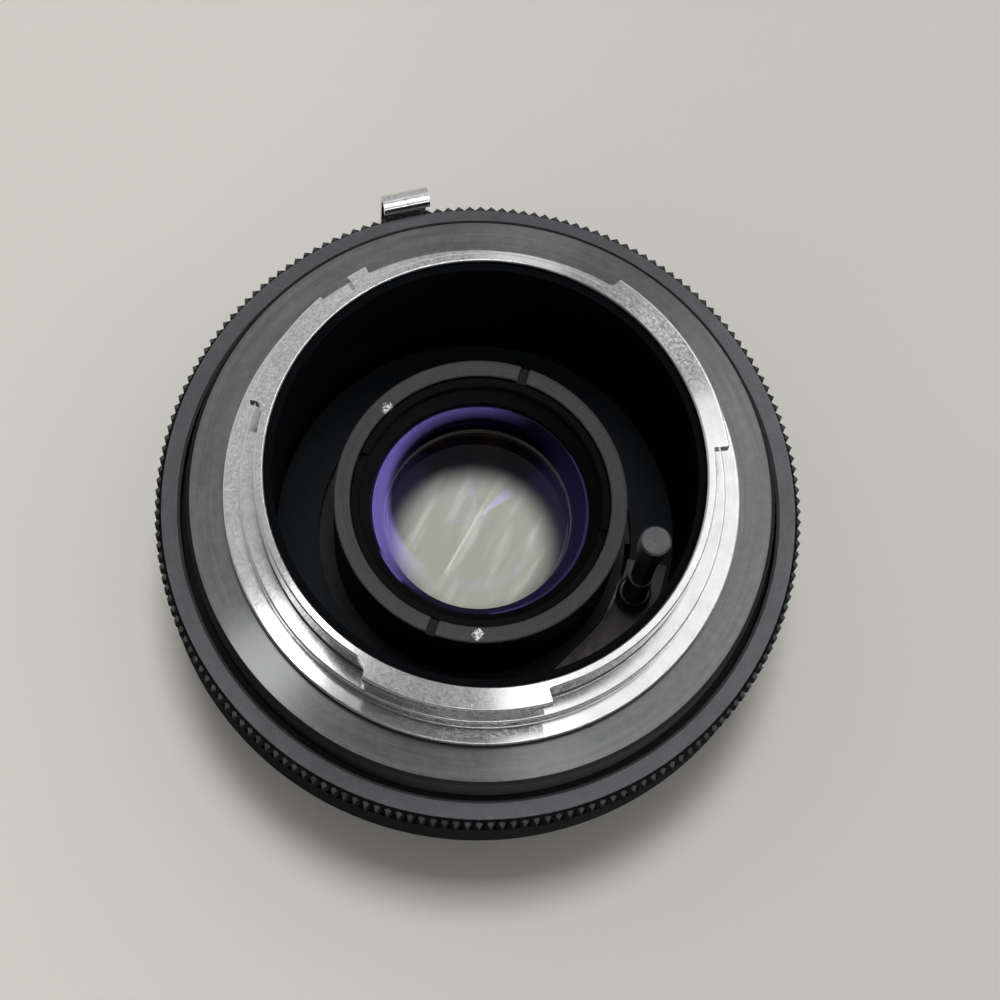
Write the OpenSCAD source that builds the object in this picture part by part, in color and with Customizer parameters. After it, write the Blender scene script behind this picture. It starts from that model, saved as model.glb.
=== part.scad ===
// Lens extender for a bayonet camera: it doubles the focal length of the lens in front of it.
// Millimetres. The optical axis is Z, the camera side is up, and Z = 0 is the seat for the lens.
// Angles run about Z from +X, seen from the camera side.

/* [Length] */
// Distance from the lens seat to the rear flange face
flange_distance = 26.8; // [24.6:0.2:30]

/* [Rear bayonet] */
// Height of the bayonet rim above the flange face
rim_height = 7.2; // [6.6:0.1:7.8]
// Outside diameter of the bayonet tube
tube_d = 44.8; // [40:0.1:50]
// Wall of the bayonet tube at the rim
tube_wall = 0.9; // [0.8:0.05:1.1]
// How far the lugs stand out of the tube
lug_reach = 1.45; // [1.2:0.05:1.5]
// Thickness of a lug along the axis
lug_thick = 1.6; // [1.2:0.1:2]
// How far the locating pilot under the lugs stands out of the tube
pilot_step = 1.55; // [1.5:0.05:1.8]
// Height of the pilot above the flange face
pilot_height = 2.1; // [1.6:0.1:2.4]
// Width of the flange's seat round the pilot
flange_w = 1.7; // [1.5:0.05:2.2]
// Thickness of the chrome flange
flange_thick = 1.2; // [1:0.1:1.6]
// Diameter of the screws that hold the rear bayonet
bayonet_screw_d = 1.7; // [1.4:0.1:2]

/* [Rear cover] */
// Width of the raised cover outside the chrome flange
cover_w = 3.75; // [3.4:0.05:4.2]
// Height of the cover above the land of the coupling ring
cover_height = 3.8; // [3.2:0.1:4.4]
// Depth of the cover below that land
cover_seat = 1.9; // [1.5:0.1:2.3]
// Bevel on the outer edge of the cover
cover_bevel = 0.25; // [0.1:0.05:0.5]

/* [Coupling ring] */
// Width of the dark gap between the cover and the coupling ring
land_gap = 0.75; // [0.5:0.05:0.9]
// Width of the flat land inside the knurl
land_w = 1.9; // [1.7:0.05:2.4]
// Depth of the V grooves of the knurl
knurl_depth = 0.6; // [0.4:0.05:0.7]
// Number of teeth round the knurl
knurl_teeth = 180; // [120:4:200]
// Height of the knurled band
knurl_height = 3.4; // [2.4:0.1:4.4]
// How far the plain band lies under the tips of the knurl
band_drop = 0.25; // [0.1:0.05:0.4]
// Turn of the coupling ring from rest to its stop
ring_travel = 55; // [40:1:60]

/* [Coupling lug] */
// Angle of the chrome lug at rest
tab_angle = 103.8; // [80:0.1:110]
// Width of the lug
tab_w = 4.8; // [4:0.1:5.6]
// Sheet thickness of the lug
tab_sheet = 0.5; // [0.4:0.05:0.6]
// Outer radius of the rolled top of the lug
tab_roll_r = 1; // [0.9:0.05:1.2]
// How far the lug stands out of the plain band
tab_reach = 1.7; // [1.6:0.1:2.2]
// Height of the rolled top above the land
tab_rise = 2.6; // [2.2:0.1:3]

/* [Barrel] */
// Wall of the barrel's front section round the lens cavity
front_wall = 4.35; // [4:0.05:5]
// Wall between the window of the lens release and the shoulder
window_wall = 0.3; // [0.2:0.1:1]
// How far the shoulder that carries the coupling ring stands out of its journal
shoulder_reach = 1; // [0.8:0.05:1.2]
// Thickness of that shoulder
shoulder_thick = 1.4; // [1.2:0.1:1.8]
// Thickness of the web that carries the optical cell
web_thick = 2.2; // [2:0.1:2.6]

/* [Front bayonet] */
// How far the chrome front plate is set in from the front section
plate_inset = 0.4; // [0.2:0.05:1]
// Thickness of the front plate
plate_thick = 2.2; // [2.1:0.1:2.4]
// Thickness of the bayonet claws
claw_thick = 1.6; // [1.2:0.1:1.8]
// Diameter of the front plate screws
plate_screw_d = 1.6; // [1.4:0.1:1.8]

/* [Optics] */
// Width of the dark chamber round the optical cell
chamber_w = 5.9; // [5.4:0.05:6.4]
// Depth of the cell's rim below the bayonet rim
cell_drop = 10.4; // [9.8:0.1:11]
// Width of the flat rim of the cell
cell_rim_w = 1.65; // [1.4:0.05:1.8]
// Width of the step between the cell's mouth and the edge of the glass
mouth_step = 1; // [0.8:0.05:1.2]
// Width of the glass edge under the rear retaining ring
glass_seat = 0.95; // [0.7:0.05:1.2]
// Width of the spanner slots
slot_w = 1; // [0.8:0.1:1.4]

/* [Stop-down pin] */
// Distance of the pin's axis from the wall of the optical cell
pin_set = 2.95; // [2.7:0.05:3.1]
// Angle of the pin at rest
pin_angle = -23; // [-26:0.5:-20]
// Diameter of the pin's head
pin_head_d = 3.1; // [2.8:0.1:3.3]
// Diameter of the collar at the pin's foot
pin_collar_d = 3.5; // [3.3:0.1:3.8]
// Turn of the stop-down ring from rest to its stop
stop_travel = 28; // [20:1:30]

/* [Lens release] */
// Angle of the lens lock
lock_angle = 129.2; // [127:0.1:131]
// Diameter of the lock pin
lock_pin_d = 1.7; // [1.5:0.1:1.9]
// Travel of the release button along the axis
release_travel = 1.8; // [1.5:0.1:1.8]

/* [Hidden] */
$fn = 96;
eps = 0.01;
over = 1;

// Colours of the finishes
chrome = "#d9dadb";
satin_black = "#4a4c4f";
matte_black = "#26272a";
deep_black = "#141518";
cell_grey = "#3c3d41";
bare_steel = "#7d756c";
spring_steel = "#9b9c9e";
index_red = "#b3261e";
coated_glass = [0.55, 0.62, 0.85, 0.45];

// Fits, as radial or face clearances
running_fit = 0.05;
seat_fit = 0.03;
face_gap = 0.02;
lens_fit = 0.1;
claw_fit = 0.2;
rim_room = 0.4;
ring_end_gap = 0.3;

// Radii of the rear mount
tube_r = tube_d / 2;
rim_r = tube_r - tube_wall;
lug_r = tube_r + lug_reach;
pilot_r = tube_r + pilot_step;
flange_r = pilot_r + flange_w;
cover_r = flange_r + cover_w;

// Lugs of the rear bayonet: start and end angles, and the radii of their milled run-outs
LUG_A = [6.6, 56];
LUG_B = [-119.2, -74.5];
LUG_C = [120.3, 163.8];
bayonet_spigot = 1.2;
lug_runout = 1.4;
lug_short_runout = 0.85;
runout_step = 0.05;
mount_bevel = 0.15;
lock_notch = [125.2, 133.2];

// Radii of the coupling ring and its journal
ring_bore_r = cover_r + land_gap;
journal_r = ring_bore_r - running_fit;
land_r = ring_bore_r + land_w;
land_step = 0.1;
knurl_root_r = land_r + land_step;
knurl_r = knurl_root_r + knurl_depth;
band_r = knurl_r - band_drop;
knurl_drop = 0.3;
knurl_slope = 0.55;
edge_bevel = 0.3;

// Radii of the barrel
shoulder_r = journal_r + shoulder_reach;
register_r = pilot_r + lens_fit;
claw_r = tube_r + claw_fit;
sleeve_wall = 0.95;
claw_gap_room = 0.3;
claw_relief = 0.1;
claw_sleeve_r = register_r + sleeve_wall;
cavity_r = claw_sleeve_r + running_fit;
front_r = cavity_r + front_wall;
plate_r = front_r - plate_inset;
liner_wall = 0.75;
liner_r = rim_r - seat_fit * 2;
liner_bore_r = liner_r + seat_fit;
cell_r = liner_r - liner_wall - chamber_w;
ledge_w = 0.55;
stop_bore_r = liner_bore_r - ledge_w;

// Heights, from the lens seat up
z_rim = flange_distance + rim_height;
z_cover = flange_distance - flange_thick;
z_land = z_cover - cover_height;
z_top = z_land - cover_seat;
z_knurl = z_land - knurl_drop;
z_knurl_foot = z_knurl - knurl_height;
z_claw = plate_thick + claw_thick;
slide_lift = 0.6;
slide_low_h = 3.2;
slide_room = 0.2;
z_slide = z_claw + slide_lift;
window_top = z_slide + slide_low_h + release_travel + slide_room;
z_section = window_top + window_wall;
z_shoulder = z_section + shoulder_thick;
z_ring = z_shoulder + ring_end_gap;
z_web = rim_height + rim_room;
z_web_top = z_web + web_thick;
z_cell = z_rim - cell_drop;

// Stop-down ring, arm and chamber sleeve
stop_ring_gap = 0.2;
stop_ring_thick = 1.2;
arm_thick = 0.8;
arm_room = 0.6;
stop_ring_r = stop_bore_r - running_fit;
stop_spring_room = 1.6;
stop_ring_bore_r = cell_r + stop_spring_room;
z_stop_ring = z_web_top + stop_ring_gap;
z_arm = z_stop_ring + stop_ring_thick;
z_arm_top = z_arm + arm_thick;
z_ledge = z_arm_top + arm_room;
liner_drop = 0.5;

// Arm that the pin stands on: an arc that runs out straight on its far side
arm_clear = 1.35;
arm_inner_r = cell_r + arm_clear;
arm_inset = 0.6;
arm_lead = 13;
arm_tail = 52;
arm_bend = 22;
arm_outer_r = stop_ring_r - arm_inset;
arm_start = pin_angle + arm_lead;
arm_end = pin_angle - arm_tail;
arm_straight_from = pin_angle - arm_bend;
arm_rivet_inset = 1;
rivet_r = arm_outer_r - arm_rivet_inset;
arm_rivet_turns = [23, 43];
arm_rivet_angles = [for (turn = arm_rivet_turns) pin_angle - turn];
arm_rivet_d = 1;
arm_rivet_head_d = 1.7;
arm_rivet_head_h = 0.25;

// Steps of the stop-down pin
pin_r = cell_r + pin_set;
pin_head_h = 3;
pin_shank_d = 2.2;
pin_step_d = 2.6;
pin_step_drop = 13;
pin_collar_h = 2.4;
pin_tenon_d = 2;
pin_tenon_depth = 1.6;
pin_bevel = 0.2;
pin_nib_d = 0.3;
pin_nib_h = 0.06;

// Front lever of the stop-down ring
lever_turn = 13;
lever_angle = pin_angle - lever_turn;
lever_w = 3;
lever_r = pin_r;
lever_t = 2.2;
lever_drop = 4.8;
lever_room = 0.4;
lever_slot_pad = 0.8;

// Stop-down return spring, in the ring space between the cell and the stop-down ring
stop_spring_r = cell_r + stop_spring_room / 2;
stop_spring_coil_r = 0.45;
stop_spring_wire = 0.25;
stop_spring_pitch = 0.85;
stop_post_angle = 40;
stop_post_d = 1;
stop_ear_angle = 110;
stop_ear_half = 3;
stop_ear_reach = 0.4;
stop_ear_root = 0.1;
stop_spring_lift = 1.1;
stop_spring_z = z_web_top + stop_spring_lift;
post_depth = 0.8;
post_rise = 2.1;

// Optical cell and its elements
cell_mouth_r = cell_r - cell_rim_w;
glass_r = cell_mouth_r - mouth_step;
glass_bore_r = glass_r + lens_fit;
rear_clear_r = glass_r - glass_seat;
cell_shoulder = 1.2;
cell_spigot_r = cell_r - cell_shoulder;
socket_r = cell_spigot_r + seat_fit;
cell_front_sink = 0.3;
front_ring_h = 1.2;
front_ring_sink = 0.2;
front_edge_h = 2.4;
spacer_h = 0.9;
second_edge_h = 1.2;
ledge_h = 0.8;
doublet_edge_h = 1.2;
rear_edge_h = 4.4;
ring_sink = 0.5;
ring_wall_at_top = 0.85;
ring_taper_h = 1.5;
slot_depth = 0.7;
cell_bevel = 0.12;
edge_flat = 0.3;
ledge_lip = 0.4;
clear_r = rear_clear_r - edge_flat;
ledge_bore_r = clear_r - ledge_lip;
rear_ring_h = 2.95;
z_rear_ring = z_cell - ring_sink - rear_ring_h;
z_rear_glass = z_rear_ring - face_gap - rear_edge_h;
z_doublet = z_rear_glass - face_gap - doublet_edge_h;
z_cell_ledge = z_doublet - face_gap - ledge_h;
z_second = z_cell_ledge - face_gap - second_edge_h;
z_spacer = z_second - face_gap - spacer_h;
z_front_glass = z_spacer - face_gap - front_edge_h;
z_front_ring = z_front_glass - face_gap - front_ring_h;
z_cell_front = min(z_web + cell_front_sink, z_front_ring - front_ring_sink);
cell_slot_angles = [72, 250];
ring_slot_angles = [160, 345];
front_slot_angles = [0, 180];
curve_fn = 480;
curve_rear = 27;
curve_cement = 70;
curve_doublet_front = 80;
curve_second = 40;
curve_front_in = 70;
curve_front_out = 80;

// Rear bayonet screws, driven from the lens side
bayonet_screw_angles = [20, 110, 200, 290];
bayonet_screw_inset = 1.65;
screw_head_ratio = 1.9;
bayonet_screw_r = flange_r - bayonet_screw_inset;
bayonet_screw_head_d = bayonet_screw_d * screw_head_ratio;
bayonet_screw_head_h = 1.2;
bayonet_screw_web = 3.4;
bayonet_screw_bite = 0.7;
z_bayonet_screw = z_top - bayonet_screw_web;

// Front plate screws
plate_screw_angles = [30, 102, 174, 246, 318];
plate_screw_r = (claw_sleeve_r + plate_r) / 2;
plate_screw_head_d = plate_screw_d * screw_head_ratio;
plate_screw_head_h = 0.85;
plate_screw_sink = 0.15;
plate_screw_len = 6;
driver_slot_w = 0.45;
driver_slot_h = 0.4;
cross_slot_share = 0.7;

// Leaf springs behind the claws
leaf_t = 0.35;
leaf_half = 5;
leaf_flat = 1.8;
leaf_lift = 1.1;
leaf_w = 0.9;
leaf_inset = 0.35;
leaf_r = claw_r + leaf_inset;
leaf_shift = 8;

// Index bead
bead_angle = 60;
bead_d = 2;
bead_depth = 1.2;
bead_proud = 0.3;
bead_z = (plate_thick + z_section) / 2;

// Guide screws of the coupling ring and the groove that they run in
guide_angles = [-8, 82, 172];
guide_screw_d = 2;
guide_dog_d = 1.4;
guide_dog_depth = 0.9;
guide_groove_depth = 1.2;
guide_room = 0.2;
guide_sink = 0.4;
guide_rise = 1.6;
z_guide = z_ring + guide_rise;
groove_r = journal_r - guide_groove_depth;
groove_half = guide_dog_d / 2 + guide_room;
groove_wall = 0.3;

// Drive pin, its slot, and the pocket of the return spring
drive_angle = 200;
drive_pin_d = 2;
drive_room = 0.3;
pocket_wall = 0.3;
pocket_w = 2.4;
pocket_r0 = bayonet_screw_r + bayonet_screw_head_d / 2 + lens_fit + pocket_wall;
pocket_r1 = pocket_r0 + pocket_w;
pocket_pad = 4;
drive_rise = 1.5;
z_pocket = z_guide + groove_half + groove_wall;
z_drive = z_pocket + drive_rise;
drive_slot_pad = (drive_pin_d / 2 + drive_room) / journal_r * 180 / PI;
spring_post_angle = 149.5;
spring_post_d = 1.2;
coupling_spring_r = (pocket_r0 + pocket_r1) / 2;
coupling_coil_r = 0.72;
coupling_wire = 0.4;
coupling_pitch = 1.1;
spring_end_gap = 0.15;

// Bent foot of the chrome lug
tab_centre_r = band_r + tab_reach - tab_roll_r;
z_tab_roll = z_land + tab_rise - tab_roll_r;
tab_lip = 0.45;
tab_foot_h = 2.4;
tab_foot_rise = 1.2;
tab_foot_z = z_ring + tab_foot_rise;
tab_groove_r = 0.09;
tab_groove_angle = 143;
tab_rivet_d = 1.1;
tab_rivet_head_d = 1.8;
tab_rivet_head_h = 0.35;
tab_rivet_gap = 2.6;
tab_rivet_depth = 1;

// Follower arm that the lens pushes
follower_turn = 11;
follower_angle = tab_angle + follower_turn;
follower_w = 5;
follower_t = 1;
follower_room = 0.3;
follower_r = shoulder_r + follower_room;
follower_foot = 1;
follower_seat_h = 4;
follower_side = 0.1;
follower_tip_r = 1.5;
follower_screw_d = 1.2;
follower_screw_gap = 2.6;
follower_screw_depth = 0.9;
follower_screw_lift = 0.4;

// Release slide, button and lock pin
slide_w = 4.6;
lock_r = (claw_r + lug_r) / 2;
lock_pin_drop = 1.9;
slide_wall = 0.5;
slide_arm_r0 = lock_r - lock_pin_d / 2 - slide_wall;
slide_arm_h = 1.5;
slide_set = 0.4;
slide_body = 2.2;
slide_block_r0 = cavity_r + slide_set;
slide_tall_r1 = slide_block_r0 + slide_body;
slide_arm_lift = 0.1;
z_slide_arm = z_web + slide_arm_lift;
z_slide_top = z_slide_arm + slide_arm_h;
slot_top = z_slide_top + release_travel + slide_room;
button_w = 7;
button_t = 1.3;
button_gap = 0.25;
button_h = slide_low_h;
button_rib = 0.35;
button_ribs = 4;
button_rib_share = 0.5;
button_stem_inset = 0.4;
lock_spring_r = slide_block_r0 + slide_body / 2;
lock_coil_r = 0.8;
lock_wire = 0.3;
lock_spring_hole_r = lock_coil_r + lock_wire / 2 + slide_room;
lock_spring_room = 1.8;
lock_pitch = 0.9;

// Helpers

module ring(r0, r1, z0, z1) {
  rotate_extrude() translate([r0, z0]) square([r1 - r0, z1 - z0]);
}

module sector(r0, r1, a0, a1, z0, z1) {
  rotate([0, 0, a0]) rotate_extrude(angle = a1 - a0) translate([r0, z0]) square([r1 - r0, z1 - z0]);
}

module post(r, angle, z0, z1, d) {
  rotate([0, 0, angle]) translate([r, 0, z0]) cylinder(h = z1 - z0, d = d);
}

module rod(r0, r1, angle, z, d, side = 0) {
  rotate([0, 0, angle]) translate([r0, side, z]) rotate([0, 90, 0]) cylinder(h = r1 - r0, d = d);
}

module block(r0, r1, w, z0, z1) {
  translate([r0, -w / 2, z0]) cube([r1 - r0, w, z1 - z0]);
}

// Spanner slots cut into the rear or front face of a ring
module spanner_slots(r0, r1, angles, z0, z1) {
  for (a = angles) rotate([0, 0, a]) block(r0, r1, slot_w, z0, z1);
}

// Glass element: a disc with a flat edge, and a curve on each face within its clear radius.
// A positive curve bulges outwards, a negative one is hollow, and 0 is flat.
module glass(r, clear, z0, z1, front_curve, rear_curve) {
  difference() {
    union() {
      translate([0, 0, z0]) cylinder(h = z1 - z0, r = r);
      if (rear_curve > 0) translate([0, 0, z1]) glass_bulge(clear, rear_curve);
      if (front_curve > 0) translate([0, 0, z0]) mirror([0, 0, 1]) glass_bulge(clear, front_curve);
    }
    if (rear_curve < 0) translate([0, 0, z1]) glass_ball(clear, -rear_curve);
    if (front_curve < 0) translate([0, 0, z0]) mirror([0, 0, 1]) glass_ball(clear, -front_curve);
  }
}

// Sphere above a face, which meets the face in the clear circle
module glass_ball(clear, curve) {
  translate([0, 0, sqrt(pow(curve, 2) - pow(clear, 2))]) sphere(r = curve, $fn = curve_fn);
}

module glass_bulge(clear, curve) {
  intersection() {
    mirror([0, 0, 1]) glass_ball(clear, curve);
    translate([0, 0, -eps]) cylinder(h = clear, r = clear);
  }
}

// Coil springs: an unbroken round wire, wound along an arc or along a straight axis
wire_sides = 6;
coil_steps = 8;

function unit(v) = v / norm(v);
function radial(a) = [cos(a), sin(a), 0];
function arc_point(r, a, z) = [r * cos(a), r * sin(a), z];

function arc_coil_path(r, z, a0, a1, coil_r, turns) = let (n = turns * coil_steps)
  [for (i = [0:n]) let (a = a0 + (a1 - a0) * i / n, f = 360 * i / coil_steps)
    arc_point(r, a, z) + coil_r * (cos(f) * radial(a) + sin(f) * [0, 0, 1])];

function arc_coil_sides(a0, a1, turns) = let (n = turns * coil_steps)
  [for (i = [0:n]) let (a = a0 + (a1 - a0) * i / n, f = 360 * i / coil_steps)
    cos(f) * radial(a) + sin(f) * [0, 0, 1]];

function straight_coil_path(length, coil_r, turns) = let (n = turns * coil_steps)
  [for (i = [0:n]) coil_r * radial(360 * i / coil_steps) + [0, 0, length * i / n]];

function straight_coil_sides(turns) =
  [for (i = [0:turns * coil_steps]) radial(360 * i / coil_steps)];

function with_leads(path, first, last) = concat([path[0] - first], path, [path[len(path) - 1] + last]);
function with_end_sides(sides) = concat([sides[0]], sides, [sides[len(sides) - 1]]);

// Least distance between one turn of the wire and the next
function coil_gap(path, wire) = min([for (i = [1:len(path) - coil_steps - 3])
  for (k = [coil_steps - 1:coil_steps + 1]) norm(path[i + k] - path[i])]) - wire;

module wire_tube(path, sides, wire) {
  last = len(path) - 1;
  points = [for (i = [0:last])
    let (along = unit(path[min(i + 1, last)] - path[max(i - 1, 0)]),
         across = unit(cross(along, sides[i])),
         out = cross(across, along))
    for (k = [0:wire_sides - 1])
      path[i] + wire / 2 * (cos(360 * k / wire_sides) * out + sin(360 * k / wire_sides) * across)];
  walls = [for (i = [0:last - 1]) for (k = [0:wire_sides - 1])
    let (a = i * wire_sides + k, b = i * wire_sides + (k + 1) % wire_sides)
    each [[a, b + wire_sides, b], [a, a + wire_sides, b + wire_sides]]];
  near_cap = [for (k = [1:wire_sides - 2]) [0, k, k + 1]];
  far = last * wire_sides;
  far_cap = [for (k = [1:wire_sides - 2]) [far, far + k + 1, far + k]];
  polyhedron(points, concat(walls, near_cap, far_cap));
}

module arc_coil(name, r, z, a0, a1, coil_r, wire, pitch) {
  turns = round((a1 - a0) * PI / 180 * r / pitch);
  coil = arc_coil_path(r, z, a0, a1, coil_r, turns);
  lead0 = wire * [-sin(a0), cos(a0), 0];
  lead1 = wire * [-sin(a1), cos(a1), 0];
  path = with_leads(coil, lead0, lead1);
  echo(str(name, " least gap between turns"), coil_gap(path, wire));
  wire_tube(path, with_end_sides(arc_coil_sides(a0, a1, turns)), wire);
}

// Barrel and fixed covers

module main_barrel() {
  color(matte_black) difference() {
    rotate_extrude() polygon([
      [cavity_r, plate_thick], [front_r, plate_thick], [front_r, z_section],
      [shoulder_r, z_section], [shoulder_r, z_shoulder], [journal_r, z_shoulder],
      [journal_r, z_guide - groove_half], [groove_r, z_guide - groove_half],
      [groove_r, z_guide + groove_half], [journal_r, z_guide + groove_half],
      [journal_r, z_top], [liner_bore_r, z_top], [liner_bore_r, z_ledge],
      [stop_bore_r, z_ledge], [stop_bore_r, z_web_top], [socket_r, z_web_top],
      [socket_r, z_web], [cavity_r, z_web]
    ]);
    bayonet_screw_holes();
    plate_screw_holes();
    spring_pocket();
    lever_slot();
    release_slot();
    post(stop_spring_r, stop_post_angle, z_web_top - post_depth, z_web_top + over,
      stop_post_d + 2 * seat_fit);
    rod(front_r - bead_depth, front_r + over, bead_angle, bead_z, bead_d + 2 * seat_fit);
  }
}

module bayonet_screw_holes() {
  for (a = bayonet_screw_angles) {
    post(bayonet_screw_r, a, z_web - over, z_bayonet_screw, bayonet_screw_head_d + 2 * lens_fit);
    post(bayonet_screw_r, a, z_bayonet_screw - over, z_top + over, bayonet_screw_d + 2 * seat_fit);
  }
}

module plate_screw_holes() {
  for (a = plate_screw_angles)
    post(plate_screw_r, a, plate_thick - over, plate_screw_len + lens_fit, plate_screw_d + 2 * seat_fit);
}

// Pocket of the coupling spring, and the slot that its drive pin swings in
module spring_pocket() {
  pocket_end = drive_angle + ring_travel + pocket_pad;
  sector(pocket_r0, pocket_r1, spring_post_angle - pocket_pad, pocket_end, z_pocket, z_top + over);
  sector(pocket_r1 - over, journal_r + over, drive_angle - drive_slot_pad,
    drive_angle + ring_travel + drive_slot_pad, z_drive - drive_pin_d / 2 - drive_room,
    z_drive + drive_pin_d / 2 + drive_room);
  post(coupling_spring_r, spring_post_angle, z_pocket - post_depth, z_pocket + over,
    spring_post_d + 2 * seat_fit);
}

// Slot in the web that the front lever swings in, and its end stops
module lever_slot() {
  half = (lever_w / 2 + lever_room) / lever_r * 180 / PI;
  sector(lever_r - lever_t / 2 - lever_slot_pad, lever_r + lever_t / 2 + lever_slot_pad,
    lever_angle - half, lever_angle + stop_travel + half, z_web - over, z_web_top + over);
}

module release_slot() {
  w = slide_w + 2 * slide_room;
  rotate([0, 0, lock_angle]) {
    block(slide_arm_r0 - slide_room, slide_tall_r1 + slide_room, w, z_slide - slide_room, slot_top);
    block(slide_tall_r1, front_r + over, w, z_slide - slide_room, window_top);
    translate([lock_spring_r, 0, slot_top - over])
      cylinder(h = over + lock_spring_room, r = lock_spring_hole_r);
  }
}

module rear_cover() {
  color(satin_black) difference() {
    rotate_extrude() polygon([
      [tube_r + seat_fit, z_top], [cover_r, z_top], [cover_r, z_cover - cover_bevel],
      [cover_r - cover_bevel, z_cover], [tube_r + seat_fit, z_cover]
    ]);
    for (a = bayonet_screw_angles)
      post(bayonet_screw_r, a, z_top - over, z_cover + over, bayonet_screw_d + 2 * seat_fit);
  }
}

// Chrome bayonet: tube, pilot, flange and three lugs

module rear_bayonet() {
  z_pilot = flange_distance + pilot_height;
  color(chrome) difference() {
    union() {
      rotate_extrude() polygon([
        [rim_r, z_cover - bayonet_spigot], [tube_r, z_cover - bayonet_spigot], [tube_r, z_cover],
        [flange_r, z_cover], [flange_r, flange_distance - mount_bevel],
        [flange_r - mount_bevel, flange_distance], [pilot_r, flange_distance],
        [pilot_r, z_pilot - mount_bevel], [pilot_r - mount_bevel, z_pilot], [tube_r, z_pilot],
        [tube_r, z_rim - mount_bevel], [tube_r - mount_bevel, z_rim], [rim_r + mount_bevel, z_rim],
        [rim_r, z_rim - mount_bevel]
      ]);
      lug(LUG_A[0], LUG_A[1], 0, lug_runout);
      lug(LUG_B[0], LUG_B[1], lug_runout, 0);
      lug(LUG_C[0], lock_notch[0], lug_short_runout, 0);
      lug(lock_notch[1], LUG_C[1], 0, lug_short_runout);
    }
    for (a = bayonet_screw_angles)
      post(bayonet_screw_r, a, z_cover - over, z_cover + bayonet_screw_bite + lens_fit,
        bayonet_screw_d + 2 * seat_fit);
  }
}

// Lug with a milled run-out at its low end, its high end, or neither
module lug(a0, a1, low_mill, high_mill) {
  first = a0 - low_mill / tube_r * 180 / PI;
  last = a1 + high_mill / tube_r * 180 / PI;
  difference() {
    rotate([0, 0, first]) rotate_extrude(angle = last - first) polygon([
      [tube_r - tube_wall / 2, z_rim - lug_thick], [lug_r, z_rim - lug_thick],
      [lug_r, z_rim - mount_bevel], [lug_r - mount_bevel, z_rim], [tube_r - tube_wall / 2, z_rim]
    ]);
    if (low_mill > 0) mill_cut(first, low_mill);
    if (high_mill > 0) mill_cut(last, high_mill);
  }
}

// Path of an end mill that ran in along a radius, to just above the tube
module mill_cut(angle, mill_r) {
  centre = tube_r + runout_step + mill_r;
  low = z_rim - lug_thick - over;
  post(centre, angle, low, z_rim + over, 2 * mill_r);
  rotate([0, 0, angle]) block(centre, lug_r + over, 2 * mill_r, low, z_rim + over);
}

module rear_bayonet_screws() {
  color(spring_steel) for (a = bayonet_screw_angles) difference() {
    union() {
      post(bayonet_screw_r, a, z_bayonet_screw - bayonet_screw_head_h, z_bayonet_screw,
        bayonet_screw_head_d);
      post(bayonet_screw_r, a, z_bayonet_screw - eps, z_cover + bayonet_screw_bite, bayonet_screw_d);
    }
    rotate([0, 0, a]) translate([bayonet_screw_r, 0, z_bayonet_screw - bayonet_screw_head_h])
      cube([driver_slot_w, bayonet_screw_head_d * 2, driver_slot_h * 2], center = true);
  }
}

module chamber_sleeve() {
  color(deep_black) ring(liner_r - liner_wall, liner_r, z_ledge + face_gap, z_rim - liner_drop);
}

// Optics

module optical_cell() {
  color(cell_grey) difference() {
    rotate_extrude() polygon([
      [glass_bore_r, z_cell_front], [cell_spigot_r, z_cell_front], [cell_spigot_r, z_web_top + face_gap],
      [cell_r, z_web_top + face_gap], [cell_r, z_cell - cell_bevel], [cell_r - cell_bevel, z_cell],
      [cell_mouth_r + cell_bevel, z_cell], [cell_mouth_r, z_cell - cell_bevel],
      [cell_mouth_r, z_rear_ring - face_gap], [glass_bore_r, z_rear_ring - face_gap],
      [glass_bore_r, z_cell_ledge + ledge_h], [ledge_bore_r, z_cell_ledge + ledge_h],
      [ledge_bore_r, z_cell_ledge], [glass_bore_r, z_cell_ledge]
    ]);
    spanner_slots(cell_mouth_r - over, cell_r + over, cell_slot_angles,
      z_cell - slot_depth, z_cell + over);
  }
}

module rear_retaining_ring() {
  outer = cell_mouth_r - seat_fit;
  inner = outer - ring_wall_at_top;
  top = z_cell - ring_sink;
  color(matte_black) difference() {
    rotate_extrude() polygon([
      [rear_clear_r, z_rear_ring], [outer, z_rear_ring], [outer, top - cell_bevel],
      [outer - cell_bevel, top], [inner + cell_bevel, top], [inner, top - cell_bevel],
      [inner, z_rear_ring + ring_taper_h], [rear_clear_r, z_rear_ring + ring_taper_h / 3]
    ]);
    spanner_slots(inner - over, outer + over, ring_slot_angles, top - slot_depth, top + over);
  }
}

module rear_element() {
  color(coated_glass)
    glass(glass_r, clear_r, z_rear_glass, z_rear_glass + rear_edge_h, -curve_cement, -curve_rear);
}

module doublet_front_element() {
  color(coated_glass)
    glass(glass_r, ledge_bore_r, z_doublet, z_doublet + doublet_edge_h, curve_doublet_front, curve_cement);
}

module second_element() {
  color(coated_glass)
    glass(glass_r, ledge_bore_r, z_second, z_second + second_edge_h, curve_second, 0);
}

module front_spacer() {
  color(deep_black) ring(clear_r, glass_r, z_spacer, z_spacer + spacer_h);
}

module front_element() {
  color(coated_glass)
    glass(glass_r, ledge_bore_r, z_front_glass, z_front_glass + front_edge_h,
      -curve_front_out, -curve_front_in);
}

module front_retaining_ring() {
  outer = glass_bore_r - seat_fit;
  color(matte_black) difference() {
    ring(clear_r, outer, z_front_ring, z_front_ring + front_ring_h);
    spanner_slots(clear_r - over, outer + over, front_slot_angles,
      z_front_ring - over, z_front_ring + slot_depth);
  }
}

// Front bayonet

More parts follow.
